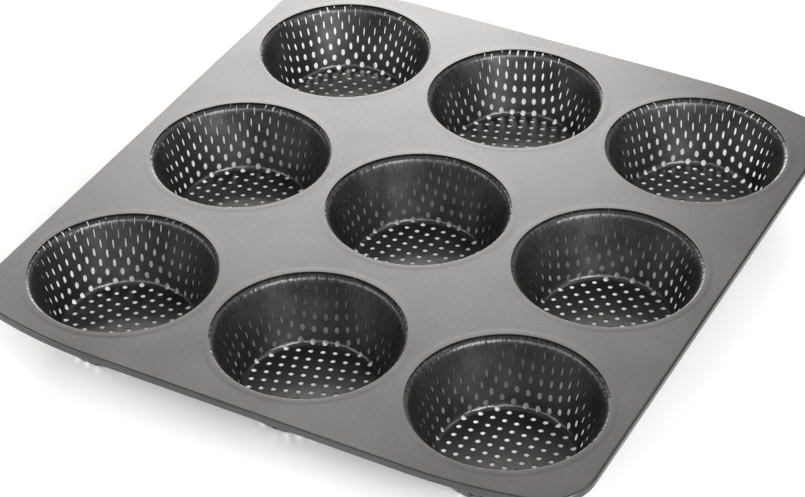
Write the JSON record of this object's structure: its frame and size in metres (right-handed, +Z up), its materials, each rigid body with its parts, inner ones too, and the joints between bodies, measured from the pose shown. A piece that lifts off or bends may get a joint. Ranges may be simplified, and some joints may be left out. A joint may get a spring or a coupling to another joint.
{
  "type": "bread roll pan",
  "caption": "Flat sheet metal pan with rows of round perforated cups sunk in it for baking bread rolls; it stands on the floors of its cups.",
  "frame": {"origin": "under the middle of the pan, on the surface that its cup floors stand on", "axes": "+Z up out of the cups, +X along a row of cups to the right column, +Y from the front row to the back row"},
  "size_m": [0.3194, 0.3404, 0.0339],
  "materials": {
    "plate_coat": "satin non-stick coating on steel, pewter grey with a fine speckle",
    "cup_coat": "semi-gloss non-stick coating on perforated steel, charcoal"
  },
  "bodies": {
    "root": {"top_plate": "plate_coat", "cup_back_left": "cup_coat", "cup_back_centre": "cup_coat", "cup_back_right": "cup_coat", "cup_middle_left": "cup_coat", "cup_middle_centre": "cup_coat", "cup_middle_right": "cup_coat", "cup_front_left": "cup_coat", "cup_front_centre": "cup_coat", "cup_front_right": "cup_coat"}
  },
  "joints": []
}
